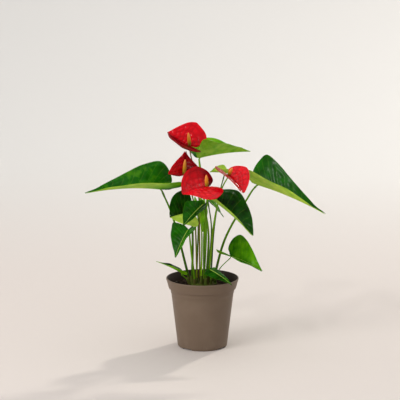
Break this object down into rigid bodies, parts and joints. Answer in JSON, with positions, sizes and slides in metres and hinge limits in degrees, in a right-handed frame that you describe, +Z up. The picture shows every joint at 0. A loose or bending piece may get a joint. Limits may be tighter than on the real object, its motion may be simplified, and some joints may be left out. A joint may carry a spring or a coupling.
{
  "type": "potted anthurium",
  "caption": "Anthurium plant with heart-shaped green leaves and glossy red spathes, each with an upright spadix, growing in a tapered plastic nursery pot.",
  "frame": {"origin": "centre of the pot's flat underside, level with the surface that the pot stands on", "axes": "+Z up through the pot's axis, -Y towards the front that the open faces of most spathes look at, +X to the right as seen from the front"},
  "size_m": [0.3896, 0.1786, 0.3708],
  "materials": {
    "pot": "satin",
    "soil": "matte",
    "leaf": "satin",
    "petiole": "satin",
    "peduncle": "satin",
    "spathe": "gloss",
    "spadix": "matte"
  },
  "bodies": {
    "root": {"pot": "pot", "potting_soil": "soil", "crown": "petiole", "leaf_far_left": "leaf", "leaf_top_right": "leaf", "leaf_small_top": "leaf", "leaf_far_right": "leaf", "leaf_front_right": "leaf", "leaf_back_centre": "leaf", "leaf_back_right": "leaf", "leaf_low_right": "leaf", "leaf_upper_left": "leaf", "leaf_hanging_left": "leaf", "leaf_slanting": "leaf", "leaf_low_left": "leaf", "leaf_over_rim": "leaf", "petiole_far_left": "petiole", "petiole_top_right": "petiole", "petiole_small_top": "petiole", "petiole_far_right": "petiole", "petiole_front_right": "petiole", "petiole_back_centre": "petiole", "petiole_back_right": "petiole", "petiole_low_right": "petiole", "petiole_upper_left": "petiole", "petiole_hanging_left": "petiole", "petiole_slanting": "petiole", "petiole_low_left": "petiole", "petiole_over_rim": "petiole", "spathe_top": "spathe", "spathe_middle": "spathe", "spathe_front": "spathe", "spathe_right": "spathe", "peduncle_top": "peduncle", "peduncle_middle": "peduncle", "peduncle_front": "peduncle", "peduncle_right": "peduncle", "spadix_top": "spadix", "spadix_middle": "spadix", "spadix_front": "spadix", "spadix_right": "spadix"}
  },
  "joints": []
}
